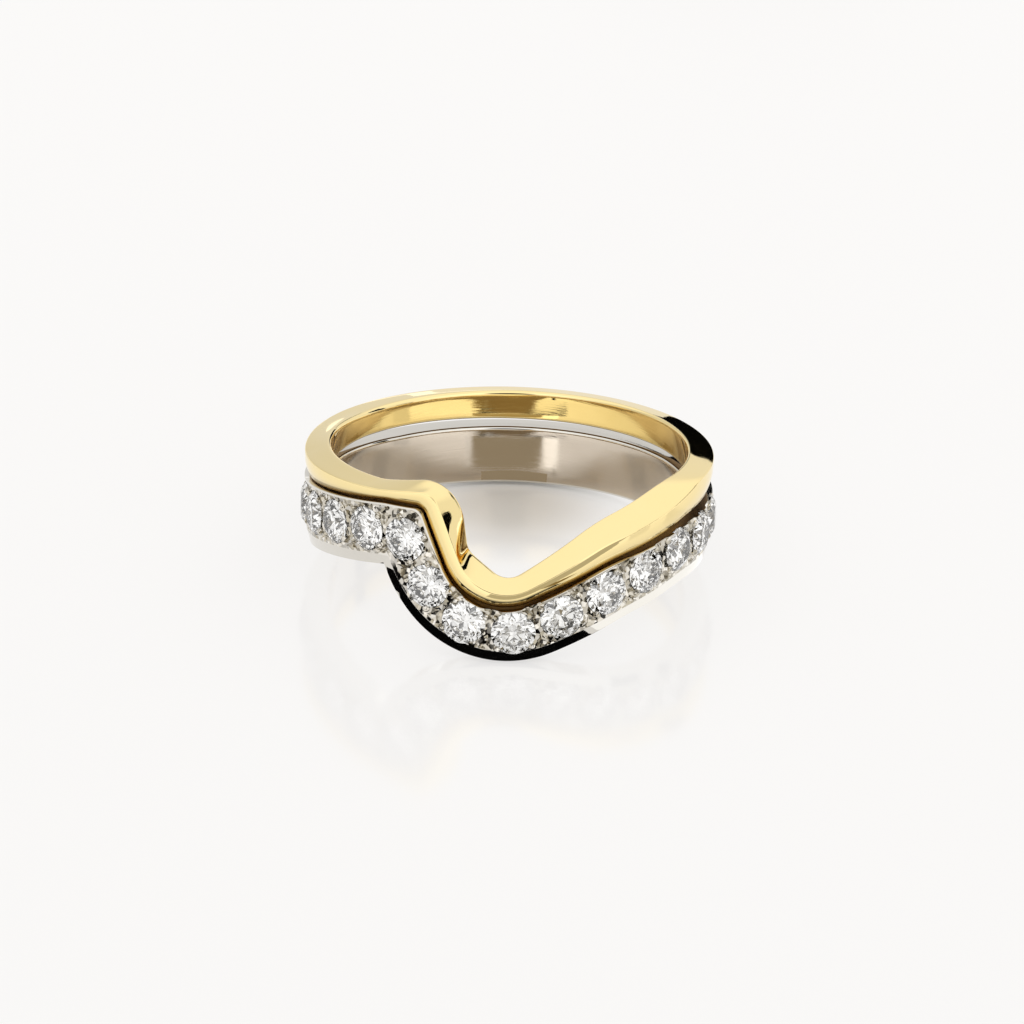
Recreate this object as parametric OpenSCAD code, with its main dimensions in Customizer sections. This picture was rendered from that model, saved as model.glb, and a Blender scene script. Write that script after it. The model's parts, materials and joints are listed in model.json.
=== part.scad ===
// Wedding ring of two nested bands: a plain gold one above, and a diamond-set white gold one below.
// Both follow one drawn wave: a level run, a steep fall, a round dip at the front and a slow rise.
// Lengths are in millimetres. The ring is drawn about the finger's axis, then laid down as it rests.

/* [Finger] */
// Inside diameter of both bands
bore_d = 17; // [16.5:0.25:18]

/* [Bands] */
// Thickness of the metal, from the bore to the outside
wall = 1.25; // [1.2:0.05:1.4]
// Height of the gold band where it runs level
gold_h = 1.2; // [1.15:0.05:1.25]
// Open gap between the bands at the back
split = 0.4; // [0.35:0.05:0.5]
// Height of the diamond band where it runs level
white_h = 2.85; // [2.75:0.05:2.95]
// Gap between the bands where they nest against each other
nest_gap = 0.06; // [0.04:0.01:0.1]

/* [Edges] */
// Radius that the gold band's inner top edge is rounded with
crest_soft = 0.25; // [0.15:0.05:0.3]
// Radius that the bore's other edges are broken with
bore_edge = 0.1; // [0.06:0.01:0.12]
// Radius that the outer top edges are broken with
top_edge = 0.06; // [0.03:0.01:0.09]
// How far the gold band's outside curves in towards its underside
undercut = 0.4; // [0.3:0.05:0.45]
// How far the bright bevel leans in above the diamond band's foot
bevel_in = 0.3; // [0.2:0.05:0.35]

/* [Diamonds] */
// Number of diamonds in the row
stone_count = 14; // [10:1:14]
// Diameter of a diamond across its girdle
stone_d = 2.1; // [1.9:0.05:2.15]
// Distance from one diamond to the next, along the row
stone_pitch = 2.46; // [2.42:0.01:2.5]
// Place of the first diamond along the row, counted from the front of the dip
row_start = -16.7; // [-17:0.1:-16.5]
// Depth of the girdles below the metal's face
stone_sink = 0.15; // [0.12:0.01:0.2]

/* [Hidden] */
function stone_name(i) = str("stone_", i < 10 ? "0" : "", i);

$fn = 180;
bore_r = bore_d / 2;
outer_r = bore_r + wall;
mm_per_degree = outer_r * PI / 180;

// Heights where the bands run level, down from the gold band's flat top
seam_level = -gold_h - split;
foot_level = seam_level - white_h;

// Each edge of the bands is drawn on the ring's outside, as the corners of a line and how far
// each corner is rounded. The columns are the angle from the front, where right is positive,
// the height, and the rounding radius. The rows of all five edges stand for the same places.
// They are the back, behind left, the left side, the end of the level run, the corner,
// the foot of the fall, the dip, the rise, the right side, behind right and the back.

// Inner edge of the gold band's top face
crest_edge = [
    [-180, 0.24, 0],
    [-125, 0.14, 20],
    [-85, 0.42, 10],
    [-42.3, 0.62, 6],
    [-15.2, 1.44, 2.1],
    [-12.2, -2.06, 0.8],
    [0.1, -3.57, 1.3],
    [29, -0.78, 8],
    [54.6, 0.24, 14],
    [120, 0.32, 20],
    [180, 0.24, 0]
];

// Outer edge of the gold band's top face
ridge_edge = [
    [-180, 0.07, 0],
    [-125, 0.05, 20],
    [-85, 0, 10],
    [-40, 0.47, 6],
    [-21.4, 0.89, 0.9],
    [-11, -3.36, 2.43],
    [0.7, -4.08, 2.43],
    [28.8, -1.66, 6],
    [69.5, 0, 5],
    [120, 0.04, 20],
    [180, 0.07, 0]
];

// Underside of the gold band, which nests on the diamond band from the left side to the rise
under_edge = [
    [-180, -gold_h, 0],
    [-125, -gold_h + 0.08, 20],
    [-85, -gold_h, 10],
    [-37, -0.12 + nest_gap, 4],
    [-25.1, -0.05 + nest_gap, 0.6],
    [-15.2, -3.97 + nest_gap, 3.27],
    [-0.6, -5 + nest_gap, 3.27],
    [31, -2.72 + nest_gap, 8],
    [65, -gold_h - 0.2, 8],
    [120, -gold_h, 20],
    [180, -gold_h, 0]
];

// Top of the diamond band
seam_edge = [
    [-180, seam_level, 0],
    [-142, seam_level - 0.02, 10],
    [-85, -gold_h - nest_gap, 10],
    [-37, -0.12, 4],
    [-25.3, -0.05, 0.5],
    [-15.3, -4, 3.3],
    [-0.6, -5.01, 3.3],
    [31.1, -2.72, 8],
    [59, seam_level - 0.26, 8],
    [120, seam_level, 20],
    [180, seam_level, 0]
];

// Foot of the diamond band, with its sharp inner corner under the level run
foot_edge = [
    [-180, foot_level, 0],
    [-125, foot_level, 20],
    [-86, foot_level - 0.08, 10],
    [-50, -3.57, 20],
    [-37.7, -3.25, 0.05],
    [-30.5, -5.73, 7.12],
    [-1, -7.76, 7.12],
    [37, -5.47, 8],
    [58.2, foot_level - 0.27, 10],
    [120, foot_level, 20],
    [180, foot_level, 0]
];

// Rows at which the sections of all edges start together, and the sections between them
marks = [0, 2, 4, 6, 7, 8, 10];
sections = [18, 32, 36, 20, 14, 22];

// At each of those rows, how far the bright bevel reaches above the foot, and how far down
// the stones' row lies between the seam, at 0, and the bevel, at 1
bevel_reach = [0.6, 0.65, 0.72, 0.42, 0.5, 0.7, 0.6];
row_depth = [0.5, 0.53, 0.55, 0.52, 0.5, 0.47, 0.5];

// Straight pieces in each rounded corner, an even number
arc_steps = 12;

// Cut of a diamond, as parts of its diameter
table_part = 0.57;
crown_part = 0.15;
pavilion_part = 0.42;
girdle_part = 0.03;
// Room between a diamond and its seat
seat_gap = 0.03;
stone_r = stone_d / 2;
girdle_r = outer_r - stone_sink;

function unit(v) = v / norm(v);
function turned(v, a) = [v.x * cos(a) - v.y * sin(a), v.x * sin(a) + v.y * cos(a)];
function along(a, b, part) = a + (b - a) * part;

// Points of the arc that rounds the corner at b between a and c
function corner_arc(a, b, c, radius) =
    let (
        into = unit(b - a),
        out = unit(c - b),
        turn = atan2(into.x * out.y - into.y * out.x, into * out),
        side = (turn < 0 ? -1 : 1) * [-into.y, into.x] * radius,
        centre = b - into * radius * tan(abs(turn) / 2) + side
    )
    [for (i = [0 : arc_steps]) centre - turned(side, turn * i / arc_steps)];

// The rounded line of an edge, as [distance round the outside, height]
function rounded(edge) =
    let (
        last = len(edge) - 1,
        flat = [for (row = edge) [row[0] * mm_per_degree, row[1]]]
    )
    concat(
        [flat[0]],
        [for (k = [1 : last - 1]) each corner_arc(flat[k - 1], flat[k], flat[k + 1], edge[k][2])],
        [flat[last]]
    );

// Place in the rounded line of the middle of corner k
function middle(k, last) =
    k == 0 ? 0 : k == last ? (last - 1) * (arc_steps + 1) + 1 : (k - 0.5) * (arc_steps + 1) + 0.5;

// Length of the piece of a line that follows point i
function step_length(line, i) = i + 1 < len(line) ? norm(line[i + 1] - line[i]) : 0;

// Length of a line up to each of its points
function running_length(line) =
    [for (i = 0, s = 0; i < len(line); s = s + step_length(line, i), i = i + 1) s];

// An edge as one point for each section, spread evenly between the marks
function rail(edge) =
    let (
        line = rounded(edge),
        s = running_length(line),
        rounds = [for (i = [0 : len(line) - 1]) [s[i], line[i].x]],
        heights = [for (i = [0 : len(line) - 1]) [s[i], line[i].y]],
        stops = [for (k = marks) s[middle(k, len(edge) - 1)]]
    )
    [
        for (j = [0 : len(sections) - 1], i = [0 : sections[j] - 1])
            let (d = along(stops[j], stops[j + 1], i / sections[j]))
            [lookup(d, rounds), lookup(d, heights)]
    ];

// A value stated at each mark, as one value for each section
function spread(values) = [
    for (j = [0 : len(sections) - 1], i = [0 : sections[j] - 1])
        along(values[j], values[j + 1], i / sections[j])
];

// The point at a radius that stands at a place on the outside
function on_ring(r, place) =
    let (a = place.x / mm_per_degree)
    [r * sin(a), -r * cos(a), place.y];

crest = rail(crest_edge);
ridge = rail(ridge_edge);
under = rail(under_edge);
seam = rail(seam_edge);
foot = rail(foot_edge);
bevel_size = spread(bevel_reach);
row_part = spread(row_depth);
bevel = [for (i = [0 : len(foot) - 1]) foot[i] + unit(seam[i] - foot[i]) * bevel_size[i]];
row_line = [for (i = [0 : len(foot) - 1]) along(seam[i], bevel[i], row_part[i])];

// The inside of each section reaches a little into the bore, which is then cut true
core_r = bore_r - bore_edge;
lip_r = bore_r + bore_edge;
drop = [0, -2 * bore_edge];

// The rounded inner top edge of the gold band starts this far below the crest, has its middle
// this far in and down, and reaches the core radius on the same slope
crest_middle = crest_soft * (1 - sqrt(0.5));
crest_drop = [0, -crest_soft - bore_edge * tan(67.5)];

function gold_section(i) = [
    on_ring(core_r, under[i] - drop),
    on_ring(core_r, crest[i] + crest_drop),
    on_ring(bore_r + crest_middle, crest[i] - [0, crest_middle]),
    on_ring(bore_r + crest_soft, crest[i]),
    on_ring(outer_r - top_edge, ridge[i]),
    on_ring(outer_r, along(ridge[i], under[i], 0.08)),
    on_ring(outer_r, along(ridge[i], under[i], 0.35)),
    on_ring(outer_r - undercut * 0.15, along(ridge[i], under[i], 0.6)),
    on_ring(outer_r - undercut * 0.45, along(ridge[i], under[i], 0.83)),
    on_ring(outer_r - undercut, under[i]),
    on_ring(lip_r, under[i])
];

function white_section(i) = [
    on_ring(core_r, foot[i] - drop),
    on_ring(core_r, seam[i] + drop),
    on_ring(lip_r, seam[i]),
    on_ring(outer_r - top_edge, seam[i]),
    on_ring(outer_r, along(seam[i], bevel[i], 0.03)),
    on_ring(outer_r, along(seam[i], bevel[i], 0.35)),
    on_ring(outer_r, along(seam[i], bevel[i], 0.68)),
    on_ring(outer_r, bevel[i]),
    on_ring(outer_r - bevel_in, foot[i]),
    on_ring(lip_r, foot[i])
];

// A closed band through sections that all have the same number of points
module band(rings) {
    count = len(rings);
    size = len(rings[0]);
    polyhedron(
        points = [for (ring = rings) each ring],
        faces = [
            for (i = [0 : count - 1], j = [0 : size - 1])
                let (
                    a = i * size + j,
                    b = i * size + (j + 1) % size,
                    c = (i + 1) % count * size + (j + 1) % size,
                    d = (i + 1) % count * size + j
                )
                each [[a, c, b], [a, d, c]]
        ],
        convexity = 8
    );
}

module finger_bore() {
    reach = 4 * white_h;
    translate([0, 0, -reach]) cylinder(h = 2 * reach, r = bore_r);
}

// A diamond's profile, or its seat's with some room: culet, girdle, crown and table
module stone_profile(room, rise) {
    girdle = stone_d * girdle_part;
    polygon([
        [0, -stone_d * pavilion_part - room],
        [stone_r + room, -girdle / 2],
        [stone_r + room, girdle / 2 + rise],
        [stone_r * table_part, stone_d * crown_part + rise],
        [0, stone_d * crown_part + rise]
    ]);
}

// The middle line of the stones' row and its running length, counted from the dip
row_length = running_length(row_line);
row_rounds = [for (i = [0 : len(row_line) - 1]) [row_length[i], row_line[i].x]];
row_heights = [for (i = [0 : len(row_line) - 1]) [row_length[i], row_line[i].y]];
dip_length = row_length[sections[0] + sections[1] + sections[2]];

function stone_place(i) =
    let (d = dip_length + row_start + (i - 1) * stone_pitch)
    [lookup(d, row_rounds), lookup(d, row_heights)];

// Stands what is drawn along Z on the band's outside at stone i, facing straight out
module at_stone(i) {
    place = stone_place(i);
    rotate([0, 0, place.x / mm_per_degree])
        translate([0, -girdle_r, place.y])
            rotate([90, 0, 0]) children();
}

module seat(i) {
    at_stone(i) rotate_extrude() stone_profile(seat_gap, 2 * wall);
}

// The ring lies on the dip's inner lower edge and the outer lower edge at the back
dip_foot = min([for (place = foot) place.y]);
rest_tilt = atan((foot_level - dip_foot) / (lip_r + outer_r - bevel_in));
rest_lift = (outer_r - bevel_in) * sin(rest_tilt) - foot_level * cos(rest_tilt);

// Lying so, it reaches furthest forward at the table of the diamond in the dip, and furthest
// back at the gold band's top, and the origin is midway between them
table_r = girdle_r + stone_d * crown_part;
dip_stone = round(1 - row_start / stone_pitch);
table_low = stone_place(dip_stone).y - stone_r * table_part;
front_reach = table_r * cos(rest_tilt) - table_low * sin(rest_tilt);
rest_shift = (front_reach - outer_r * cos(rest_tilt)) / 2;

module laid_down() {
    translate([0, rest_shift, rest_lift]) rotate([-rest_tilt, 0, 0]) children();
}

module gold_band() {
    color("#e2c27c") laid_down() difference() {
        band([for (i = [0 : len(crest) - 1]) gold_section(i)]);
        finger_bore();
    }
}

module diamond_band() {
    color("#d3d0cb") laid_down() difference() {
        band([for (i = [0 : len(seam) - 1]) white_section(i)]);
        finger_bore();
        for (i = [1 : stone_count]) seat(i);
    }
}

module stone(i) {
    color("#eef1f3") laid_down() at_stone(i) rotate_extrude() stone_profile(0, 0);
}

gold_band();
diamond_band();
for (i = [1 : stone_count])
    stone(i);
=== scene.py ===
# %% [markdown]
# # A wedding ring of two nested bands
#
# The real object is one ring in two metals. A plain band of yellow gold lies on a band of white
# gold that carries a row of fourteen round diamonds. Both bands follow one drawn wave: a level run,
# a steep fall, a round dip at the front and a slow rise. This lesson builds the polished metal, the
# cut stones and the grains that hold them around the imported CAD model, and then lights them.

# %% Load the frame
import json
import math

import bpy
import numpy as np
from mathutils import Matrix, Vector


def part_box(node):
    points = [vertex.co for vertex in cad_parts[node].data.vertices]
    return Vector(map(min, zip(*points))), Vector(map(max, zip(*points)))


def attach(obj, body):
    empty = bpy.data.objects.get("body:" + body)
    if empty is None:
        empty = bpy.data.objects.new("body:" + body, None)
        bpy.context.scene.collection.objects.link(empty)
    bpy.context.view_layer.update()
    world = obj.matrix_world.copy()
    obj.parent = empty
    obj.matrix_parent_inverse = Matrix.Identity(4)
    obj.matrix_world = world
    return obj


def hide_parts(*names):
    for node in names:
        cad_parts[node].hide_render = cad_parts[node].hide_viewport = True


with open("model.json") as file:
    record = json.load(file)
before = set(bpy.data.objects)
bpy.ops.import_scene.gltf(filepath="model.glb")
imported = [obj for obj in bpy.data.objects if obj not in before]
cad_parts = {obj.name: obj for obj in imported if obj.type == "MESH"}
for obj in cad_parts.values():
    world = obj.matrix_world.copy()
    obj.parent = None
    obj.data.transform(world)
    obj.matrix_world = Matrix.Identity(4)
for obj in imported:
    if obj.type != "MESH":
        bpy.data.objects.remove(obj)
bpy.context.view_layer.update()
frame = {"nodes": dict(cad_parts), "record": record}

# %% [markdown]
# ## How the ring lies
#
# A jeweller draws a ring upright about the finger's axis, and so does this lesson, in millimetres,
# because Blender's tools work best on things of about that size. The ring rests a little tilted,
# since its dip is deeper than its back. The record's finger bore says where its axis is, so every
# piece can be drawn upright and laid down at the end.

# %% Read the ring's place from the record
MM = 0.001
bore = next(m for m in frame["record"]["mounts"] if m["name"] == "finger_bore")
BORE_R = bore["dims"]["r_mm"]
BORE_MIDDLE = -3.165  # height of the bore's middle, below the gold band's flat top
finger_axis = Vector(bore["axis"]).normalized()
ring_origin = Vector(bore["pos_m"]) / MM - finger_axis * BORE_MIDDLE
lie = Matrix.Translation(ring_origin) @ Vector((0, 0, 1)).rotation_difference(finger_axis).to_matrix().to_4x4()
low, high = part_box("gold_band")
OUTER_R = (high.x - low.x) / 2 / MM
MM_PER_DEGREE = math.radians(OUTER_R)
print(f"bore radius {BORE_R} mm, outer radius {OUTER_R:.3f} mm, top of the ring at {ring_origin.z:.2f} mm")


def lay_down(piece):
    """Turns a piece that is drawn upright in millimetres into one that lies in the frame, in metres."""
    piece.matrix_world = Matrix.Scale(MM, 4) @ lie @ piece.matrix_world
    only(piece)
    bpy.ops.object.transform_apply(location=True, rotation=True, scale=True)


def only(*objects):
    """Selects just these objects, the first of them active."""
    if bpy.context.mode != "OBJECT":
        bpy.ops.object.mode_set(mode="OBJECT")
    bpy.ops.object.select_all(action="DESELECT")
    for o in objects:
        o.select_set(True)
    bpy.context.view_layer.objects.active = objects[0]


# %% [markdown]
# ## The camera
#
# The photograph was taken with a long lens from in front, about 28 degrees above the table, and
# turned by a little over a degree. A lens this long keeps the ring's far side as large as its near
# side. The angle is measured from the ring's own plane, whose tilt is added. The camera stands half
# a metre off and looks at a point just under the ring's top.

# %% Set up the camera
DISTANCE = 500  # mm from the middle of the ring's top
ABOVE_RING = math.radians(18.78)  # how steeply it looks down on the ring's plane
ELEVATION = ABOVE_RING + finger_axis.angle(Vector((0, 0, 1)))
ROLL = math.radians(1.37)
AIM_BELOW, AIM_RIGHT = 2.90, 0.12  # mm in the picture from the middle of the ring's top to the picture's middle
PIXELS_PER_MM = 20.97  # at that distance, in a picture 1024 pixels wide
SENSOR, PICTURE = 36, 1024  # widths in mm and in pixels

view = bpy.data.cameras.new("camera")
camera = bpy.data.objects.new("camera", view)
bpy.context.collection.objects.link(camera)
bpy.context.scene.camera = camera
view.sensor_width = SENSOR
view.lens = PIXELS_PER_MM * DISTANCE * SENSOR / PICTURE
view.clip_start = 0.01
backwards = Vector((0, -math.cos(ELEVATION), math.sin(ELEVATION)))
turn = backwards.to_track_quat("Z", "Y").to_matrix().to_4x4() @ Matrix.Rotation(ROLL, 4, "Z")
stand = ring_origin + backwards * DISTANCE + turn.to_3x3() @ Vector((AIM_RIGHT, -AIM_BELOW, 0))
camera.matrix_world = Matrix.Translation(stand * MM) @ turn
print(f"lens {view.lens:.1f} mm, camera at {stand.z:.0f} mm above the table")

# %% [markdown]
# ## The wave
#
# Five lines on the ring's outside say everything about the wave: the inner and outer edge of the
# gold band's top face, its underside, the top of the white band, and that band's foot. Each is drawn
# as a few corners that are then rounded. The same places carry a row in each line, so sections can
# be laid across all five at once, evenly spread between the marks.

# %% Draw the five edges of the wave
SEAM, FOOT = -1.6, -4.45  # mm, top and foot of the white band where the ring runs level
GOLD_FOOT, NEST = -1.2, 0.06  # mm, underside of the gold band there, and the gap where the bands nest
# Columns: degrees from the front, where right is positive; height; rounding radius, both in mm.
# Rows: back, behind left, left side, end of the level run, corner, foot of the fall, dip, rise,
# right side, behind right, back.
EDGES = {
    "crest": (
        (-180, 0.24, 0), (-125, 0.14, 20), (-85, 0.42, 10), (-42.3, 0.62, 6), (-15.2, 1.44, 2.1),
        (-12.2, -2.06, 0.8), (0.1, -3.57, 1.3), (29, -0.78, 8), (54.6, 0.24, 14), (120, 0.32, 20),
        (180, 0.24, 0),
    ),
    "ridge": (
        (-180, 0.07, 0), (-125, 0.05, 20), (-85, 0, 10), (-40, 0.47, 6), (-21.4, 0.89, 0.9),
        (-11, -3.36, 2.43), (0.7, -4.08, 2.43), (28.8, -1.66, 6), (69.5, 0, 5), (120, 0.04, 20),
        (180, 0.07, 0),
    ),
    "under": (
        (-180, GOLD_FOOT, 0), (-125, GOLD_FOOT + 0.08, 20), (-85, GOLD_FOOT, 10), (-37, NEST - 0.12, 4),
        (-25.1, NEST - 0.05, 0.6), (-15.2, NEST - 3.97, 3.27), (-0.6, NEST - 5, 3.27), (31, NEST - 2.72, 8),
        (65, GOLD_FOOT - 0.2, 8), (120, GOLD_FOOT, 20), (180, GOLD_FOOT, 0),
    ),
    "seam": (
        (-180, SEAM, 0), (-142, SEAM - 0.02, 10), (-85, GOLD_FOOT - NEST, 10), (-37, -0.12, 4),
        (-25.3, -0.05, 0.5), (-15.3, -4, 3.3), (-0.6, -5.01, 3.3), (31.1, -2.72, 8), (59, SEAM - 0.26, 8),
        (120, SEAM, 20), (180, SEAM, 0),
    ),
    "foot": (
        (-180, FOOT, 0), (-125, FOOT, 20), (-86, FOOT - 0.08, 10), (-50, -3.57, 20), (-37.7, -3.25, 0.05),
        (-30.5, -5.73, 7.12), (-1, -7.76, 7.12), (37, -5.47, 8), (58.2, FOOT - 0.27, 10), (120, FOOT, 20),
        (180, FOOT, 0),
    ),
}
MARKS = (0, 2, 4, 6, 7, 8, 10)  # rows at which the sections of all edges start together
FINENESS = 5
SECTIONS = tuple(FINENESS * n for n in (18, 32, 36, 20, 14, 22))  # sections between the marks
ARC_STEPS = 24  # straight pieces in each rounded corner, an even number
print("sections round the ring:", sum(SECTIONS))


# %% Round the corners, and spread points along each edge
def corner_arc(before, corner, after, radius):
    """Points of the arc that rounds one corner of a drawn line."""
    into = (corner - before) / np.linalg.norm(corner - before)
    out = (after - corner) / np.linalg.norm(after - corner)
    turned = math.atan2(into[0] * out[1] - into[1] * out[0], into @ out)
    side = math.copysign(radius, turned) * np.array((-into[1], into[0]))
    centre = corner - into * radius * math.tan(abs(turned) / 2) + side
    angles = turned * np.arange(ARC_STEPS + 1) / ARC_STEPS
    x = side[0] * np.cos(angles) - side[1] * np.sin(angles)
    y = side[0] * np.sin(angles) + side[1] * np.cos(angles)
    return centre - np.stack((x, y), 1)


def rail(name):
    """One edge as a point (distance round the outside, height) for each section."""
    flat = [np.array((angle * MM_PER_DEGREE, height)) for angle, height, _ in EDGES[name]]
    radii = [radius for _, _, radius in EDGES[name]]
    arcs = [corner_arc(*flat[k - 1:k + 2], radii[k]) for k in range(1, len(flat) - 1)]
    line = np.concatenate((flat[:1], *arcs, flat[-1:]))
    run = np.concatenate(([0], np.cumsum(np.linalg.norm(np.diff(line, axis=0), axis=1))))
    middles = [(k - 1) * (ARC_STEPS + 1) + ARC_STEPS // 2 + 1 for k in range(len(flat))]
    middles[0], middles[-1] = 0, len(line) - 1
    stops = [run[middles[k]] for k in MARKS]
    places = [np.linspace(a, b, n, endpoint=False) for a, b, n in zip(stops, stops[1:], SECTIONS)]
    places = np.concatenate(places)
    return np.stack((np.interp(places, run, line[:, 0]), np.interp(places, run, line[:, 1])), 1)


crest, ridge, under, seam, foot = (rail(name) for name in EDGES)
print(f"deepest point of the dip {foot[:, 1].min():.2f} mm, highest point of the crest {crest[:, 1].max():.2f} mm")

# %% [markdown]
# ## A band from one section
#
# By hand, a plain band is one section spun about the finger's axis. The wave is then put into it by
# moving each section to its own place, which is what a goldsmith does with files and pliers on a
# cast blank. A section is drawn by its corners, with soft edges where the metal is broken and
# polished, and enough points between them to follow the round of the bore.


# %% Lay a section across the wave
SOFT_STEPS = 6


def across(corners):
    """Points of all sections, from rows of (radius, rail, softness, steps to the next corner)."""
    solid = [np.column_stack((np.broadcast_to(r, len(line)), line)) for r, line, _, _ in corners]
    points = []
    for j, (_, _, soft, steps) in enumerate(corners):
        here, last, following = solid[j], solid[j - 1], solid[(j + 1) % len(solid)]
        back, ahead = last - here, following - here
        a = here + back / np.linalg.norm(back, axis=1)[:, None] * soft
        b = here + ahead / np.linalg.norm(ahead, axis=1)[:, None] * soft
        for t in np.linspace(0, 1, SOFT_STEPS + 1) if soft else (0.5,):
            points.append(a * (1 - t) ** 2 + here * 2 * t * (1 - t) + b * t**2)
        next_soft = corners[(j + 1) % len(corners)][2]
        back = here - following
        c = following + back / np.linalg.norm(back, axis=1)[:, None] * next_soft
        points += [b + (c - b) * k / steps for k in range(1, steps)]
    r, d, h = np.moveaxis(np.stack(points, 1), 2, 0)
    angle = np.radians(d / MM_PER_DEGREE)
    return np.stack((r * np.sin(angle), -r * np.cos(angle), h), 2)


def spin_band(name, sections):
    """Spins the section at the ring's back into a plain band, and lays each section on the wave."""
    count, size = sections.shape[:2]
    bpy.ops.object.select_all(action="DESELECT")
    bpy.ops.mesh.primitive_circle_add(vertices=size, radius=BORE_R)
    band = bpy.context.object
    band.name = name
    plain = sections[0]
    for v, place in zip(band.data.vertices, plain):
        v.co = place
    bpy.ops.object.mode_set(mode="EDIT")
    bpy.ops.mesh.select_all(action="SELECT")
    bpy.ops.mesh.spin(steps=count, angle=math.tau, center=(0, 0, 0), axis=(0, 0, 1))
    bpy.ops.object.mode_set(mode="OBJECT")
    spun = np.empty(len(band.data.vertices) * 3)
    band.data.vertices.foreach_get("co", spun)
    spun = spun.reshape(-1, 3)
    turns = np.arctan2(spun[:, 0], -spun[:, 1]) / math.tau + 0.5
    which = np.round(turns * count).astype(int) % count
    profile = np.stack((np.hypot(spun[:, 0], spun[:, 1]), spun[:, 2]), 1)
    wanted = np.stack((np.hypot(plain[:, 0], plain[:, 1]), plain[:, 2]), 1)
    corner = np.argmin(np.linalg.norm(profile[:, None] - wanted[None], axis=2), axis=1)
    band.data.vertices.foreach_set("co", sections[which, corner].ravel())
    bpy.ops.object.mode_set(mode="EDIT")
    bpy.ops.mesh.select_all(action="SELECT")
    bpy.ops.mesh.remove_doubles(threshold=1e-5)
    bpy.ops.mesh.normals_make_consistent(inside=False)
    bpy.ops.object.mode_set(mode="OBJECT")
    print(f"{name}: {len(band.data.vertices)} points, {len(band.data.polygons)} faces")
    return band


# %% [markdown]
# ## The plain gold band
#
# Its inner wall is a true cylinder. Its top face leans outward, a little at the back and as a wide
# bevel in the dip and up the right-hand rise. The outside starts upright and curves in below, most
# of all in the dip, which makes the dark groove that shows above the white band. The inner top edge
# is the softest one, so that the ring slips on easily.


# %% Spin and shape the gold band
CREST_EDGE, BORE_EDGE, TOP_EDGE, LOW_EDGE = 0.25, 0.18, 0.06, 0.04  # mm, softness of the edges
UNDERCUT = (0.34, 0.26, 0.34, 0.48, 0.36, 0.22, 0.34)  # mm that the wall curves in by the underside, at each mark
UNDERCUT_FROM, UNDERCUT_STEPS = 0.25, 9  # part of the wall where it starts to curve in, and points down the curve


def spread(values):
    """A value stated at each mark, as one value for each section."""
    return np.concatenate([np.linspace(a, b, n, endpoint=False) for a, b, n in zip(values, values[1:], SECTIONS)])


def between(a, b, part):
    """What lies some part of the way from a to b."""
    return a + (b - a) * part


undercut = spread(UNDERCUT)
gold_corners = [(BORE_R, under, BORE_EDGE, 6), (BORE_R, crest, CREST_EDGE, 5), (OUTER_R, ridge, TOP_EDGE, 3)]
for part in np.linspace(UNDERCUT_FROM, 1, UNDERCUT_STEPS):
    inward = undercut * ((part - UNDERCUT_FROM) / (1 - UNDERCUT_FROM)) ** 2
    gold_corners.append((OUTER_R - inward, between(ridge, under, part), LOW_EDGE if part == 1 else 0, 1))
gold_corners[-1] = (*gold_corners[-1][:3], 4)
gold_band = spin_band("plain_gold_band", across(gold_corners))

# %% [markdown]
# ## The white gold band
#
# Above the stones runs a narrow polished rim, and below them a bright bevel that a graver cut along
# the foot. Between them the metal is cut down to the stones' girdles, so that the rim stands up as a
# narrow wall above the row. The channel ends behind the first and the last stone.


# %% Spin and shape the white band
def toward(a, b, mm):
    """Points that lie some millimetres from a on the way to b."""
    way = b - a
    return a + way / np.linalg.norm(way, axis=1)[:, None] * np.reshape(mm, (-1, 1))


BEVEL = (0.6, 0.62, 0.66, 0.5, 0.52, 0.62, 0.6)  # mm, height of the bevel at each mark
BEVEL_IN = 0.3  # mm that it leans in at the foot
RIM, CHANNEL, CHANNEL_WALL = 0.12, 0.14, 0.05  # mm, width of the rim, and depth and wall of the channel
CHANNEL_END, CHANNEL_FADE = 94, 3  # degrees from the front
RIM_EDGE, CUT_EDGE, FOOT_EDGE = 0.04, 0.01, 0.03  # mm, softness of the outer edges
bevel = toward(foot, seam, spread(BEVEL))
angles = np.abs(seam[:, 0]) / MM_PER_DEGREE
sunk = CHANNEL * np.clip((CHANNEL_END - angles) / CHANNEL_FADE, 0, 1)
white_band = spin_band("set_white_band", across([
    (BORE_R, foot, BORE_EDGE, 6),
    (BORE_R, seam, BORE_EDGE, 4),
    (OUTER_R, seam, RIM_EDGE, 2),
    (OUTER_R, toward(seam, bevel, RIM), CUT_EDGE, 1),
    (OUTER_R - sunk, toward(seam, bevel, RIM + CHANNEL_WALL), CUT_EDGE, 10),
    (OUTER_R - sunk, bevel, CUT_EDGE, 4),
    (OUTER_R - BEVEL_IN, foot, FOOT_EDGE, 5),
]))

# %% [markdown]
# ## Where the stones sit
#
# The CAD model has a plain turned stone in each place. Its lowest point, the culet, lies on the
# stone's axis, and the axis points straight out from the finger, so the culet alone gives the place.

# %% Find each stone's place from its CAD node
STONE_D = 2.1  # mm
SINK = 0.15  # mm from the metal's face down to the middle of the girdle
stone_nodes = sorted(name for name in frame["nodes"] if name.startswith("stone_"))
upright = lie.inverted() @ Matrix.Scale(1 / MM, 4)


def culet_of(node):
    """(distance round the outside, height) of a CAD stone's axis."""
    points = [upright @ v.co for v in frame["nodes"][node].data.vertices]
    culet = min(points, key=lambda p: math.hypot(p.x, p.y))
    return np.array((math.degrees(math.atan2(culet.x, -culet.y)) * MM_PER_DEGREE, culet.z))


places = [culet_of(node) for node in stone_nodes]
for node, place in zip(stone_nodes, places):
    print(f"{node}: {place[0] / MM_PER_DEGREE:6.1f} degrees, {place[1]:5.2f} mm")


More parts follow.
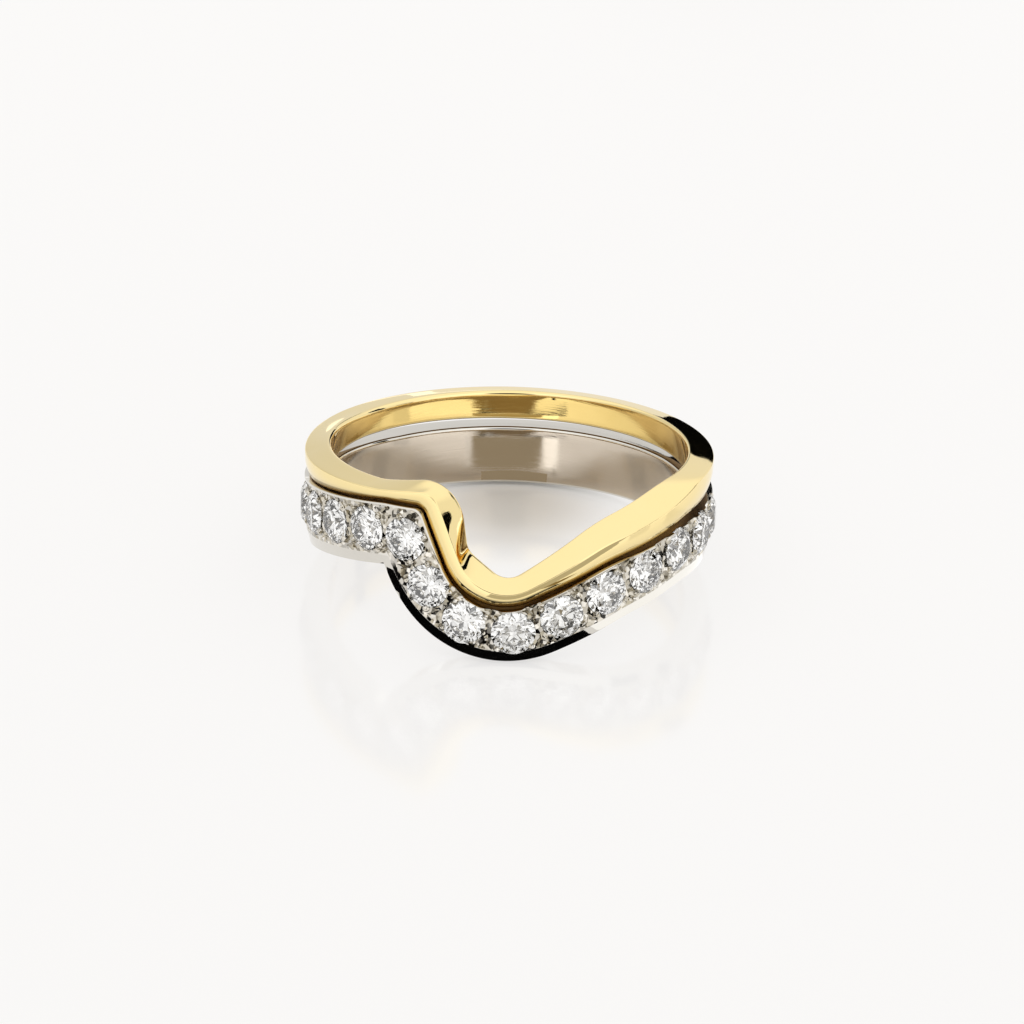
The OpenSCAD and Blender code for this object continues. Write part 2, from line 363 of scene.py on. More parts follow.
def facing_out(place, radius=OUTER_R - SINK):
    """Stands what is drawn along Z at a place on the outside, facing straight out."""
    out = Matrix.Rotation(math.radians(place[0] / MM_PER_DEGREE), 4, "Z")
    return out @ Matrix.Translation((0, -radius, place[1])) @ Matrix.Rotation(math.pi / 2, 4, "X")


def copy_at(pattern, matrix, name):
    """A copy of a modelled piece, with a mesh of its own, at another place."""
    piece = pattern.copy()
    piece.data = pattern.data.copy()
    piece.name = piece.data.name = name
    piece.matrix_world = matrix
    bpy.context.collection.objects.link(piece)
    return piece


def carve(body, tool, operation):
    """Cuts a closed tool out of a body, or joins it on, and deletes the tool."""
    only(body)
    cut = body.modifiers.new(operation.lower(), "BOOLEAN")
    cut.operation, cut.object, cut.solver = operation, tool, "MANIFOLD"
    bpy.ops.object.modifier_apply(modifier=cut.name)
    bpy.data.objects.remove(tool)


def merge(pieces):
    """Joins copies into one object at the origin."""
    only(*pieces)
    bpy.ops.object.transform_apply(location=True, rotation=True, scale=True)
    bpy.ops.object.join()
    return bpy.context.object


# %% [markdown]
# ## Seats, bright cuts and grains
#
# A setter drills a cone for each stone with a burr of the stone's own shape and drops the stone in.
# A graver then cuts three bright facets into each corner that two stones leave between them, and
# raises small grains of metal there, which are pushed over the stones' edges and rounded with a cup
# tool. The seats and cuts are made here by a burr and a graver's point, each modelled once and
# copied, and the grains are small balls that sink halfway into the metal and lap over the girdle.

# %% Drill the seats
STONE_R = STONE_D / 2
PAVILION, CROWN = 0.44 * STONE_D, 0.15 * STONE_D  # heights below and above the girdle's middle
TABLE, GIRDLE = 0.57 * STONE_R, 0.015 * STONE_D  # the table's radius, and half the girdle's height
SEAT_ROOM = 0.02  # mm between a stone and its seat
PAST_METAL = 1  # mm that the burr stands out of the metal
bpy.ops.object.select_all(action="DESELECT")
bpy.ops.mesh.primitive_cone_add(
    vertices=64, radius1=0, radius2=STONE_R + SEAT_ROOM, depth=PAVILION - GIRDLE + SEAT_ROOM,
    location=(0, 0, -(PAVILION + GIRDLE + SEAT_ROOM) / 2),
)
burr = bpy.context.object
bpy.ops.object.transform_apply(location=True, rotation=False, scale=False)
bpy.ops.object.mode_set(mode="EDIT")
bpy.ops.mesh.select_all(action="DESELECT")
bpy.ops.object.mode_set(mode="OBJECT")
for face in burr.data.polygons:
    face.select = face.normal.z > 0.9  # the cone's flat end
bpy.ops.object.mode_set(mode="EDIT")
bpy.ops.mesh.select_mode(type="FACE")
bpy.ops.mesh.extrude_region_move(TRANSFORM_OT_translate={"value": (0, 0, 2 * SINK + GIRDLE + PAST_METAL)})
bpy.ops.object.mode_set(mode="OBJECT")
burrs = merge([copy_at(burr, facing_out(place), f"burr_{i}") for i, place in enumerate(places)])
bpy.data.objects.remove(burr)
carve(white_band, burrs, "DIFFERENCE")
print("white band after drilling:", len(white_band.data.polygons), "faces")

# %% Cut the corners between the stones
CUT_R, CUT_DEPTH, CUT_ASIDE = 0.44, 0.16, 0.84  # mm, corner and depth of a cut, and its way from the row's middle
bpy.ops.object.select_all(action="DESELECT")
bpy.ops.mesh.primitive_cone_add(vertices=3, radius1=0, radius2=2 * CUT_R, depth=2 * CUT_DEPTH)
graver = bpy.context.object
cuts = []
for i, (here, following) in enumerate(zip(places, places[1:])):
    row = (following - here) / np.linalg.norm(following - here)
    aside = np.array((-row[1], row[0]))
    for side in (1, -1):
        spot = (here + following) / 2 + side * CUT_ASIDE * aside
        toward_row = math.atan2(-side * aside[1], -side * aside[0]) - math.pi / 2
        turned = facing_out(spot, OUTER_R - CHANNEL) @ Matrix.Rotation(toward_row, 4, "Z")
        cuts.append(copy_at(graver, turned, f"cut_{i}_{side}"))
bpy.data.objects.remove(graver)
for cut in cuts:
    carve(white_band, cut, "DIFFERENCE")
print("white band after the bright cuts:", len(white_band.data.polygons), "faces")

# %% Raise the grains
GRAIN_R = 0.18  # mm
GRAIN_OUT = STONE_R + 0.06  # mm from a stone's axis
GRAIN_CORNERS = (42, 138, 222, 318)  # degrees about the stone, from the row's direction
bpy.ops.object.select_all(action="DESELECT")
bpy.ops.mesh.primitive_ico_sphere_add(subdivisions=3, radius=GRAIN_R)
grain = bpy.context.object
grains = []
for i, place in enumerate(places):
    row = places[min(i + 1, len(places) - 1)] - places[max(i - 1, 0)]
    along = math.degrees(math.atan2(row[1], row[0]))
    for corner in GRAIN_CORNERS:
        a = math.radians(along + corner)
        spot = place + GRAIN_OUT * np.array((math.cos(a), math.sin(a)))
        grains.append(copy_at(grain, facing_out(spot, OUTER_R - CHANNEL), f"grain_{i}_{corner}"))
bpy.data.objects.remove(grain)
carve(white_band, merge(grains), "UNION")
print("white band with grains:", len(white_band.data.polygons), "faces")

# %% [markdown]
# ## A round brilliant
#
# A cutter grinds flat facets one after another, each at its own angle and turn: a table, eight
# bezels, eight stars and sixteen upper halves on the crown, and eight mains and sixteen lower halves
# on the pavilion. The same is done here with bisecting planes on a turned blank. Where the facets
# meet follows from the stone's proportions, so each plane needs only its turn, one point and a slope.

# %% Cut the brilliant
EIGHTH, HALF_STEP = math.tau / 8, math.tau / 32
STAR, LOWER_HALF = 0.45, 0.62  # how far the stars and the lower halves reach, as parts of the way
bpy.ops.object.select_all(action="DESELECT")
bpy.ops.mesh.primitive_cylinder_add(
    vertices=96, radius=STONE_R, depth=PAVILION + CROWN, location=(0, 0, (CROWN - PAVILION) / 2), end_fill_type="NGON"
)
brilliant = bpy.context.object
brilliant.name = "brilliant"
bpy.ops.object.transform_apply(location=True, rotation=False, scale=False)


def grind(turns, reach, height, rise, run):
    """Grinds facets at some turns, through a point at a reach and height, sloping by rise over run."""
    lean = math.atan2(rise, run)
    for a in turns:
        outward = Vector((math.cos(a), math.sin(a), 0))
        bpy.ops.mesh.select_all(action="SELECT")
        bpy.ops.mesh.bisect(
            plane_co=outward * reach + Vector((0, 0, height)),
            plane_no=outward * math.sin(abs(lean)) + Vector((0, 0, math.copysign(math.cos(lean), lean))),
            use_fill=True, clear_outer=True, threshold=1e-6,
        )


mains = [k * EIGHTH for k in range(8)]
stars = [(k + 0.5) * EIGHTH for k in range(8)]
halves = [(2 * k + 1) * HALF_STEP for k in range(16)]
flat_of_table = TABLE * math.cos(EIGHTH / 2)
star_reach = between(flat_of_table, STONE_R, STAR)
bezel_rise, bezel_run = CROWN - GIRDLE, STONE_R - TABLE
star_height = GIRDLE + (STONE_R - star_reach * math.cos(EIGHTH / 2)) * bezel_rise / bezel_run
lower_reach = STONE_R * (1 - LOWER_HALF)
main_rise, main_run = PAVILION - GIRDLE, STONE_R
lower_depth = (STONE_R - lower_reach * math.cos(EIGHTH / 2)) * main_rise / main_run
half_reach = STONE_R * math.cos(HALF_STEP)

bpy.ops.object.mode_set(mode="EDIT")
grind(mains, STONE_R, GIRDLE, bezel_rise, bezel_run)
grind(stars, flat_of_table, CROWN, CROWN - star_height, star_reach - flat_of_table)
grind(halves, half_reach, GIRDLE, star_height - GIRDLE, (STONE_R - star_reach) * math.cos(HALF_STEP))
grind(mains, STONE_R, -GIRDLE, -main_rise, main_run)
grind(halves, half_reach, -GIRDLE, -lower_depth, (STONE_R - lower_reach) * math.cos(HALF_STEP))
bpy.ops.mesh.select_all(action="SELECT")
bpy.ops.mesh.remove_doubles(threshold=1e-4)
bpy.ops.mesh.normals_make_consistent(inside=False)
bpy.ops.object.mode_set(mode="OBJECT")
print("brilliant:", len(brilliant.data.polygons), "faces, bezels at",
      round(math.degrees(math.atan2(bezel_rise, bezel_run)), 1), "degrees, mains at",
      round(math.degrees(math.atan2(main_rise, main_run)), 1))

# %% [markdown]
# ## Setting the stones
#
# Each stone drops into its own seat, table outward. A setter does not line the facets up from stone
# to stone, so every stone is turned a little further than the one before, which is why each one
# sparkles differently.

# %% Set a brilliant in each seat
TURN_BETWEEN = math.radians(17)
stones = []
for i, place in enumerate(places):
    turned = facing_out(place) @ Matrix.Rotation(i * TURN_BETWEEN, 4, "Z")
    stones.append(copy_at(brilliant, turned, f"brilliant_{i + 1:02d}"))
bpy.data.objects.remove(brilliant)
print("stones set:", len(stones))

# %% [markdown]
# ## Where the metal is finished differently
#
# The outsides were polished on a wheel. The bores were only buffed on a stick, and still show fine
# lines round the finger. The metal between the stones was cut with a graver and never polished, since
# a wheel would wear the grains away. Each face is told its zone from where it lies while the ring
# still stands upright.

# %% Tell the bores, the cut metal of the row and the polished outsides apart
POLISHED, BORE, GRAVED = range(3)
NEAR_BORE, FACES_FINGER = 0.02, -0.99  # mm from the bore's wall, and how straight a face looks at the axis
ROW_MARGIN, ROW_DEPTH = 0.01, 0.3  # mm that the cut metal keeps from the edges, and its least height on the wall
row_top = toward(seam, bevel, RIM)
for band in (gold_band, white_band):
    for face in band.data.polygons:
        x, y, z = face.center
        r = math.hypot(x, y)
        if r < BORE_R + NEAR_BORE and (face.normal.x * x + face.normal.y * y) / r < FACES_FINGER:
            face.material_index = BORE
            continue
        d = math.degrees(math.atan2(x, -y)) * MM_PER_DEGREE
        in_row = np.interp(d, *bevel.T) + ROW_MARGIN < z < np.interp(d, *row_top.T) - ROW_MARGIN
        if band is white_band and r > BORE_R + ROW_DEPTH and abs(d) < CHANNEL_END * MM_PER_DEGREE and in_row:
            face.material_index = GRAVED
    zones = [face.material_index for face in band.data.polygons]
    print(f"{band.name}: {zones.count(POLISHED)} polished faces,",
          f"{zones.count(BORE)} in the bore, {zones.count(GRAVED)} graved")

# %% [markdown]
# ## Into the frame
#
# The upright pieces are laid down as the record says the ring lies, each in place of the plain CAD
# piece that it refines. The ring has no moving parts, so all of them ride with its root.

# %% Lay everything down
SMOOTH_BELOW = math.radians(35)  # an edge that turns less than this is shaded smooth
for piece in (gold_band, white_band, *stones):
    lay_down(piece)
for band in (gold_band, white_band):
    only(band)
    bpy.ops.object.shade_smooth_by_angle(angle=SMOOTH_BELOW)
for piece, node in zip((gold_band, white_band, *stones), ("gold_band", "diamond_band", *stone_nodes)):
    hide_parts(node)
    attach(piece, "root")
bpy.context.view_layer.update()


# %% [markdown]
# ## Finishes
#
# Polished gold is a mirror: nearly all of its look is what it reflects, tinted by the alloy. Its own
# finish shows as a slight haze and as fine lines. Its colour is also painted darker in crevices, as
# painted shade. One function turns a hex colour into the linear numbers that the shaders want, and
# another adds a node with its settings and links.


# %% Helpers for materials
def colour(hex_code):
    """An sRGB hex colour as linear red, green, blue and alpha."""
    parts = [int(hex_code[k:k + 2], 16) / 255 for k in (1, 3, 5)]
    return (*(p / 12.92 if p <= 0.04045 else ((p + 0.055) / 1.055) ** 2.4 for p in parts), 1)


def add_node(tree, kind, settings=None, inputs=None):
    """Adds a node, sets its own settings, and sets or links its inputs."""
    node = tree.nodes.new(kind)
    for name, value in (settings or {}).items():
        setattr(node, name, value)
    for name, value in (inputs or {}).items():
        if isinstance(value, bpy.types.NodeSocket):
            tree.links.new(value, node.inputs[name])
        else:
            node.inputs[name].default_value = value
    return node


def new_material(name):
    """An empty material, its node tree and its output node."""
    material = bpy.data.materials.new(name)
    material.use_nodes = True
    material.node_tree.nodes.clear()
    return material, material.node_tree, add_node(material.node_tree, "ShaderNodeOutputMaterial")


# %% [markdown]
# ### Gold in two colours
#
# The two alloys share one recipe. Haze is a soft noise in the metal's roughness and tone. The lines
# are a noise stretched round the finger, so faint that they only break up the edges of reflections.
# The gold band is also painted darker and browner as it leans back over the groove, as painted shade,
# and it turns duller there, with a rougher finish. That gives the smooth brown shading above the white
# rim.

# %% Polished and buffed gold
# Painted shade: metal is painted darker in crevices, where other metal is near.
CREVICE = 0.6 * MM  # how near other metal has to be for a place to count as a crevice
CREVICE_FROM, CREVICE_TO = 0.55, 0.05  # how open a place is where it starts to darken, and where it is darkest
# Painted shade: the gold band is painted browner where its face looks down over the groove.
GROOVE_FROM, GROOVE_TO = -0.12, -0.9  # how far it looks down where the groove starts to brown, and where it is brownest
GROOVE_ROUGH = 0.35
HAZE = 2.86 * MM  # width of a cloud of haze
LINE, LINE_DEPTH = 2.5 * MM, 0.01 * MM  # length and depth of a polishing line


def painted_crevice_shade(tree, open_tone, crevice_shade_tone):
    """A tone that is painted into a deeper one in crevices near other metal, as painted shade."""
    reach = add_node(tree, "ShaderNodeAmbientOcclusion", {"samples": 12}, {"Distance": CREVICE})
    # Painted shade: this factor is 1 in the open, where the tone stays, and falls towards 0 in crevices.
    polished = add_node(tree, "ShaderNodeMapRange", {"interpolation_type": "SMOOTHSTEP"}, {
        "Value": reach.outputs["AO"], "From Min": CREVICE_TO, "From Max": CREVICE_FROM,
    })
    return add_node(tree, "ShaderNodeMix", {"data_type": "RGBA"}, {
        "Factor": polished.outputs["Result"], "A": colour(crevice_shade_tone), "B": open_tone,
    }).outputs[2]


def undercut_amount(tree):
    """How far a surface leans back over the groove below it, from 0 to 1."""
    up = add_node(tree, "ShaderNodeSeparateXYZ", inputs={
        "Vector": add_node(tree, "ShaderNodeNewGeometry").outputs["Normal"],
    }).outputs["Z"]
    return add_node(tree, "ShaderNodeMapRange", {"interpolation_type": "SMOOTHSTEP"}, {
        "Value": up, "From Min": GROOVE_FROM, "From Max": GROOVE_TO,
    }).outputs["Result"]


def metal(name, tones, roughness, line_gap, line_strength, groove=None):
    """Gold with a polish that varies from place to place and fine lines that run round the ring.

    Its three tones are the fresh metal, the worn metal and the painted shade in crevices. Its roughness is
    given where it is smoothest and where it is roughest, and the gap between lines in millimetres.
    """
    fresh, worn, crevice_shade = tones
    smooth, rough = roughness
    material, tree, output = new_material(name)
    place = add_node(tree, "ShaderNodeTexCoord").outputs["Object"]
    upright = add_node(tree, "ShaderNodeMapping", inputs={
        "Vector": place, "Rotation": (finger_axis.angle(Vector((0, 0, 1))), 0, 0),
        "Scale": (1, 1, LINE / (line_gap * MM)),
    }).outputs["Vector"]
    haze = add_node(tree, "ShaderNodeTexNoise", inputs={
        "Vector": place, "Scale": 1 / HAZE, "Detail": 3,
    }).outputs["Fac"]
    brushed = add_node(tree, "ShaderNodeTexNoise", inputs={
        "Vector": upright, "Scale": 1 / LINE, "Detail": 4,
    }).outputs["Fac"]
    polish = add_node(tree, "ShaderNodeMath", {"operation": "MULTIPLY"}, {0: haze, 1: brushed}).outputs["Value"]
    roughness = add_node(tree, "ShaderNodeMapRange", inputs={
        "Value": polish, "From Min": 0.15, "From Max": 0.4, "To Min": smooth, "To Max": rough,
    }).outputs["Result"]
    tone = add_node(tree, "ShaderNodeMix", {"data_type": "RGBA"}, {
        "Factor": haze, "A": colour(fresh), "B": colour(worn),
    }).outputs[2]
    # Painted shade: where the gold leans back over the groove it is painted browner, and it is also made rougher.
    if groove:
        groove_shade_mask = undercut_amount(tree)
        tone = add_node(tree, "ShaderNodeMix", {"data_type": "RGBA"}, {
            "Factor": groove_shade_mask, "A": tone, "B": colour(groove),
        }).outputs[2]
        roughness = add_node(tree, "ShaderNodeMix", inputs={
            "Factor": groove_shade_mask, "A": roughness, "B": GROOVE_ROUGH,
        }).outputs[0]
    relief = add_node(tree, "ShaderNodeBump", inputs={
        "Height": brushed, "Strength": line_strength, "Distance": LINE_DEPTH,
    })
    shader = add_node(tree, "ShaderNodeBsdfPrincipled", inputs={
        "Base Color": painted_crevice_shade(tree, tone, crevice_shade), "Metallic": 1.0, "Roughness": roughness,
        "Normal": relief.outputs["Normal"],
    })
    tree.links.new(shader.outputs["BSDF"], output.inputs["Surface"])
    return material


# Wheel-polished: a warm, almost perfect mirror, so the dark and pale shapes around the ring stay crisp.
# Its groove colour is painted shade where the band leans back over the white rim.
yellow = metal(
    "polished_yellow_gold", ("#fde9af", "#fbe4a4", "#d3ad6a"), (0.02, 0.07), 0.125, 0.06, groove="#7a5a2a",
)
# Buffed by hand, and painted deeper in tone as painted shade, for the reflections inside the bore that meet gold twice.
yellow_bore = metal("buffed_yellow_gold_with_painted_shade", ("#f6da90", "#edcd7e", "#c79e58"), (0.03, 0.1), 0.0833, 0.15)
# Plated and polished: neutral and bright, which sets the rim off from the yellow.
white = metal("polished_white_gold", ("#e4e1da", "#dad6cd", "#a59d8c"), (0.03, 0.08), 0.125, 0.06)
# Worn satin: softer, so that the reflections in the bore melt into upright panels, and painted greyer as painted shade
# inside the bore.
white_bore = metal("satin_white_gold_with_painted_shade", ("#d1c6b7", "#c1b5a4", "#8f8474"), (0.05, 0.11), 0.0625, 0.15)
for finish in (yellow, yellow_bore, white, white_bore):
    print("finish:", finish.name, "with", len(finish.node_tree.nodes), "nodes")

# %% [markdown]
# ### Metal that a graver has cut
#
# A graver leaves tiny flat strokes that lean every way, and each mirrors another part of the room.
# Cells of a few tenths of a millimetre, each with a lean and a tone of its own, give that broken,
# glittering grey between the stones.

# %% Metal that a graver has cut
graved, tree, output = new_material("graver_cut_white_gold")
place = add_node(tree, "ShaderNodeTexCoord").outputs["Object"]
STROKE, STROKE_LEAN = 0.2 * MM, 1.3  # width of one stroke, and how far strokes lean from the metal's face
strokes = add_node(tree, "ShaderNodeTexVoronoi", inputs={"Vector": place, "Scale": 1 / STROKE})
shade = add_node(tree, "ShaderNodeSeparateColor", inputs={"Color": strokes.outputs["Color"]}).outputs["Red"]
tone = add_node(tree, "ShaderNodeMix", {"data_type": "RGBA"}, {
    "Factor": shade, "A": colour("#f0ece4"), "B": colour("#b3ab98"),
}).outputs[2]
lean = add_node(tree, "ShaderNodeVectorMath", {"operation": "SUBTRACT"}, {
    0: strokes.outputs["Color"], 1: (0.5, 0.5, 0.5),
})
lean = add_node(tree, "ShaderNodeVectorMath", {"operation": "SCALE"}, {0: lean.outputs["Vector"], "Scale": STROKE_LEAN})
flat = add_node(tree, "ShaderNodeNewGeometry").outputs["Normal"]
leaning = add_node(tree, "ShaderNodeVectorMath", {"operation": "ADD"}, {0: flat, 1: lean.outputs["Vector"]})
facet = add_node(tree, "ShaderNodeVectorMath", {"operation": "NORMALIZE"}, {0: leaning.outputs["Vector"]})
# Painted shade: the cut metal is painted darker in crevices, between the grains and the stones.
shader = add_node(tree, "ShaderNodeBsdfPrincipled", inputs={
    "Base Color": painted_crevice_shade(tree, tone, "#857b66"), "Metallic": 1.0, "Roughness": 0.12,
    "Normal": facet.outputs["Vector"],
})
tree.links.new(shader.outputs["BSDF"], output.inputs["Surface"])
print("finish:", graved.name, "with", len(graved.node_tree.nodes), "nodes")


# %% Give each zone its finish
def finish_zones(piece, *finishes):
    """Gives each zone of a piece its own finish."""
    while len(piece.data.materials) < len(finishes):
        piece.data.materials.append(None)
    for zone, finish in enumerate(finishes):
        piece.data.materials[zone] = finish


finish_zones(gold_band, yellow, yellow_bore)
finish_zones(white_band, white, white_bore, graved)

# %% [markdown]
# ### Diamond
#
# Diamond is clear and bends light so strongly that a well-cut stone turns most of what enters its
# table back out of it. The facets do the rest, so the finish is only the true bending power, no
# haze, and a trace of uneven tone inside the stone, as in any natural crystal.

# %% Diamond
CLOUD = 1.67 * MM  # width of a cloud in the crystal
diamond, tree, output = new_material("diamond")
place = add_node(tree, "ShaderNodeTexCoord").outputs["Object"]
cloud = add_node(tree, "ShaderNodeTexNoise", inputs={"Vector": place, "Scale": 1 / CLOUD, "Detail": 2}).outputs["Fac"]
tone = add_node(tree, "ShaderNodeMix", {"data_type": "RGBA"}, {
    "Factor": cloud, "A": colour("#ffffff"), "B": colour("#fafaf7"),
}).outputs[2]
shader = add_node(tree, "ShaderNodeBsdfPrincipled", inputs={
    "Base Color": tone, "Roughness": 0.0, "IOR": 2.417, "Transmission Weight": 1.0,
})
tree.links.new(shader.outputs["BSDF"], output.inputs["Surface"])
for stone in stones:
    finish_zones(stone, diamond)
print("diamond on", len(stones), "stones")

# %% [markdown]
# ## The table
#
# The ring lies on white acrylic, with hardly any shadow around it. The sheet's glow is painted light:
# it glows all over, which hides the ring's shadows, except in a disc at the back of the ring's hollow,
# where the glow is left out as painted shade, with the ring's own shade on it. A faint gloss carries
# soft reflections of the band.

# %% Floor
# Painted light and shade: the floor glows outside a disc at the back of the hollow, and not inside it.
SHADE_Y = 6 * MM  # middle of the shaded disc, towards the ring's back
SHADE_FROM, SHADE_TO = 1 * MM, 6 * MM  # distance from there at which the shade starts to fade, and at which it ends
GLOW = 0.68
bpy.ops.object.select_all(action="DESELECT")
bpy.ops.mesh.primitive_plane_add(size=4)
floor = bpy.context.object
floor.name = "floor"
acrylic, tree, output = new_material("acrylic_with_painted_glow_and_shade")
place = add_node(tree, "ShaderNodeTexCoord").outputs["Object"]
from_shade = add_node(tree, "ShaderNodeVectorMath", {"operation": "DISTANCE"}, {
    0: place, 1: (0, SHADE_Y, 0),
}).outputs["Value"]
outside = add_node(tree, "ShaderNodeMapRange", {"interpolation_type": "SMOOTHSTEP"}, {
    "Value": from_shade, "From Min": SHADE_FROM, "From Max": SHADE_TO,
}).outputs["Result"]
paint = add_node(tree, "ShaderNodeMix", {"data_type": "RGBA"}, {
    "Factor": outside, "A": colour("#e2dfda"), "B": colour("#7d7c7b"),
})
glow = add_node(tree, "ShaderNodeMath", {"operation": "MULTIPLY"}, {0: outside, 1: GLOW}).outputs["Value"]
shader = add_node(tree, "ShaderNodeBsdfPrincipled", inputs={
    "Base Color": paint.outputs[2], "Roughness": 0.12, "IOR": 1.49,
    "Emission Color": colour("#fffefd"), "Emission Strength": glow,
})
tree.links.new(shader.outputs["BSDF"], output.inputs["Surface"])
floor.data.materials.append(acrylic)
print("table:", [round(v, 2) for v in floor.dimensions], "m")

# %% [markdown]
# ## Cards around the ring
#
# Jewellers' photographers stand black and grey cards just out of the picture, because polished metal
# without anything dark to mirror looks like plastic. The far black cards that stand at the right and
# behind are such cards. The others lie on the floor, or stand beside the fall and inside the hollow,
# and are painted reflections: the darker ones are painted shade, the pale and glowing ones painted
# light. Each card here is placed where one dark or pale shape of the photograph comes from: the black
# line along the dip's bevel, the black top face at the right, the upright panels in the bores. They
# show in reflections only, cast no shadow and light nothing, and each is clear from behind.


# %% Cards
def card(name, tone, corners, fade=None, glow=1.0):
    """A flat card that only shows in reflections. Its corners are in millimetres, and one side is clear."""
    bpy.ops.object.select_all(action="DESELECT")
    bpy.ops.mesh.primitive_circle_add(vertices=len(corners), radius=1, fill_type="NGON")
    piece = bpy.context.object
    piece.name = name
    for v, corner in zip(piece.data.vertices, corners):
        v.co = Vector(corner) * MM
    material, tree, output = new_material(name)
    dark = add_node(tree, "ShaderNodeEmission", inputs={"Color": colour(tone), "Strength": glow})
    clear = add_node(tree, "ShaderNodeBsdfTransparent")
    away = add_node(tree, "ShaderNodeNewGeometry").outputs["Backfacing"]
    if fade:
        place = add_node(tree, "ShaderNodeTexCoord").outputs["Object"]
        along = add_node(tree, "ShaderNodeSeparateXYZ", inputs={"Vector": place}).outputs["Y"]
        faded = add_node(tree, "ShaderNodeMapRange", inputs={
            "Value": along, "From Min": fade[0] * MM, "From Max": fade[1] * MM, "To Min": 1, "To Max": 0,
        }).outputs["Result"]
        away = add_node(tree, "ShaderNodeMath", {"operation": "MAXIMUM"}, {0: away, 1: faded}).outputs["Value"]
    shader = add_node(tree, "ShaderNodeMixShader", inputs={
        0: away, 1: dark.outputs["Emission"], 2: clear.outputs["BSDF"],
    })
    tree.links.new(shader.outputs["Shader"], output.inputs["Surface"])
    piece.data.materials.append(material)
    piece.visible_camera = piece.visible_diffuse = piece.visible_shadow = False
    return piece


BLACK = "#050505"
# Apart from the four far black cards standing at the right and behind, every card here is a painted reflection: painted
# shade where it is dark, painted light where it is pale or glows.
# Columns: name, tone, strength, corners in millimetres.
CARDS = (
    ("painted_dark_reflection_beside_fall", BLACK, 1, ((-6.4, -7.25, 2), (-6.4, -7.25, 3.3), (-6.4, -8.5, 2.9), (-6.4, -8.5, 1.7))),
    ("painted_shade_card_in_front", "#b0a48e", 1, ((0, 4, 0.02), (-4.7, -8.2, 0.02), (5.6, -8.2, 0.02))),
    ("painted_brown_reflection_in_front", "#8a7a5a", 1, (
        (5.1, -11.5, 0.02), (5.1, -17, 0.02), (7.2, -17, 0.02), (7.6, -11.5, 0.02),
    )),
    ("painted_shade_card_behind", "#b0a48e", 1, ((1.6, 7.6, 0), (-1.15, 7.6, 0), (-1.15, 7.6, 0.62), (1.6, 7.6, 0.62))),
    ("painted_highlight_in_front_left", "#ffffff", 1.7, ((0, 4, 0.03), (-7, -7.2, 0.03), (-4.4, -7.2, 0.03))),
    ("painted_highlight_in_front_right", "#ffffff", 1.1, ((0, 4, 0.03), (5.3, -7.2, 0.03), (6.2, -7.2, 0.03))),
    ("painted_highlight_beside_rise", "#ffffff", 1.25, (
        (5.6, -9.8, 0.02), (8.6, -8.4, 0.02), (10.6, -5.6, 0.02), (11.6, -2.5, 0.02), (11.3, 1, 0.02), (9.4, 1, 0.02),
        (9.4, -2.6, 0.02), (8.3, -5, 0.02), (7.2, -6.6, 0.02), (5.6, -8, 0.02),
    )),
    ("painted_grey_reflection_far_in_front", "#b9b6b1", 1, (
        (-12, -150, 0.01), (120, -150, 0.01), (120, -17, 0.01), (-3, -17, 0.01),
    )),
    ("painted_pale_reflection_far_behind", "#efede9", 1, ((-90, 12, 0.01), (90, 12, 0.01), (90, 150, 0.01), (-90, 150, 0.01))),
    ("black_card_at_right", BLACK, 1, ((150, -21, 31), (150, -60, 31), (150, -60, 50), (150, -21, 46))),
    ("black_card_above_right", BLACK, 1, (
        (78.8, 61.6, 62), (95.1, 30.9, 38), (99.7, 7, 18), (99.7, 7, 38), (95.1, 30.9, 66), (78.8, 61.6, 86),
    )),
    ("black_card_behind", BLACK, 1, ((19.8, 220, 0), (88, 220, 0), (88, 220, 50), (19.8, 220, 43.4))),
    ("black_card_behind_high", BLACK, 1, ((6.3, 220, 43.5), (26.1, 220, 43.5), (26.1, 220, 65.5), (6.3, 220, 65.5))),
    ("painted_dark_reflection_behind_on_floor", BLACK, 1, ((10.5, 36, 0.03), (18, 36, 0.03), (68, 225, 0.03), (19, 225, 0.03))),
)
for name, tone, strength, corners in CARDS:
    card(name, tone, corners, glow=strength)
# Painted shade on the floor under the dip, which the bevel mirrors as its black line.
card("painted_shade_card_in_front_of_dip", BLACK, (
    (-9.5, -8.9, 0.02), (-7.6, -9.7, 0.02), (-6, -10.4, 0.02), (-4, -12, 0.02), (-3, -14, 0.02), (5.1, -14, 0.02),
    (5.1, -8.2, 0.02), (3, -9, 0.02), (0, -9.4, 0.02), (-3, -9, 0.02), (-6, -7.5, 0.02), (-7.7, -7.6, 0.02),
    (-9.5, -8, 0.02),
), fade=(-13.5, -10.8))
print("cards:", len(CARDS) + 1)

# %% [markdown]
# ## The light
#
# A white tent surrounds the table. It is brightest overhead and behind the lens, where the stones
# take their light from, and a little dimmer low on the left, which is what gives the polished top
# face its slow change of tone. The lens looks in through a dark opening, and the stones' dark
# facets all come from it.

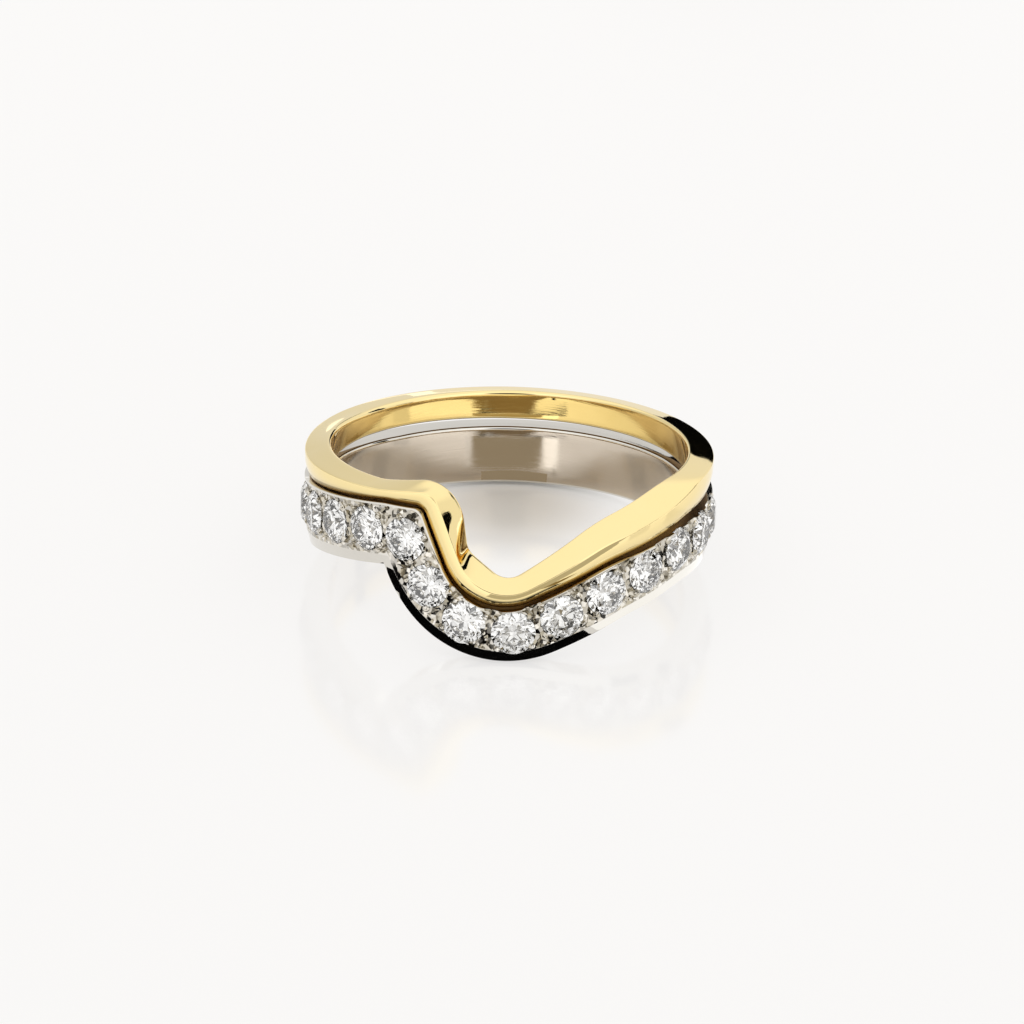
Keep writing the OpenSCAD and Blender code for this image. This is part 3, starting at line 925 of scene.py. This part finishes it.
# %% Sky
LEFT, RIGHT, OVERHEAD = 0.7, 0.92, 1.08  # strength of the light low on the left, low on the right, and overhead
BEHIND_LENS, OPENING = 1.25, 0.04  # how much stronger it is behind the lens, and what is left of it in the opening
world = bpy.data.worlds.new("studio")
bpy.context.scene.world = world
world.use_nodes = True
tree = world.node_tree
tree.nodes.clear()
direction = add_node(tree, "ShaderNodeTexCoord").outputs["Generated"]
parts = add_node(tree, "ShaderNodeSeparateXYZ", inputs={"Vector": direction})
sideways = add_node(tree, "ShaderNodeMapRange", inputs={
    "Value": parts.outputs["X"], "From Min": -0.3, "From Max": 0.3, "To Min": LEFT, "To Max": RIGHT,
}).outputs["Result"]
upward = add_node(tree, "ShaderNodeMapRange", {"interpolation_type": "SMOOTHSTEP"}, {
    "Value": parts.outputs["Z"], "From Min": 0.35, "From Max": 0.68,
}).outputs["Result"]
light = add_node(tree, "ShaderNodeMix", inputs={"Factor": upward, "A": sideways, "B": OVERHEAD}).outputs[0]
OPENING_UP = math.radians(34)  # how high the dark opening stands
OPENING_EDGE, OPENING_DARK = math.radians(18), math.radians(11)  # from its middle: where it starts, where it is darkest
toward_lens = add_node(tree, "ShaderNodeVectorMath", {"operation": "DOT_PRODUCT"}, {
    0: direction, 1: (0, -math.cos(OPENING_UP), math.sin(OPENING_UP)),
}).outputs["Value"]
around = add_node(tree, "ShaderNodeMapRange", {"interpolation_type": "SMOOTHSTEP"}, {
    "Value": toward_lens, "From Min": math.cos(OPENING_EDGE), "From Max": math.cos(OPENING_DARK),
    "To Min": 1, "To Max": OPENING,
}).outputs["Result"]
lamp = add_node(tree, "ShaderNodeMapRange", {"interpolation_type": "SMOOTHSTEP"}, {
    "Value": parts.outputs["Y"], "From Min": -0.15, "From Max": -0.6, "To Min": 1, "To Max": BEHIND_LENS,
}).outputs["Result"]
lit = add_node(tree, "ShaderNodeMath", {"operation": "MULTIPLY"}, {0: light, 1: lamp}).outputs["Value"]
strength = add_node(tree, "ShaderNodeMath", {"operation": "MULTIPLY"}, {0: lit, 1: around}).outputs["Value"]
sky = add_node(tree, "ShaderNodeBackground", inputs={"Color": colour("#fffefd"), "Strength": strength})
add_node(tree, "ShaderNodeOutputWorld", inputs={"Surface": sky.outputs["Background"]})
bpy.context.scene.view_settings.view_transform = "Standard"
bpy.context.scene.cycles.glossy_bounces = 8
print("sky:", len(tree.nodes), "nodes")
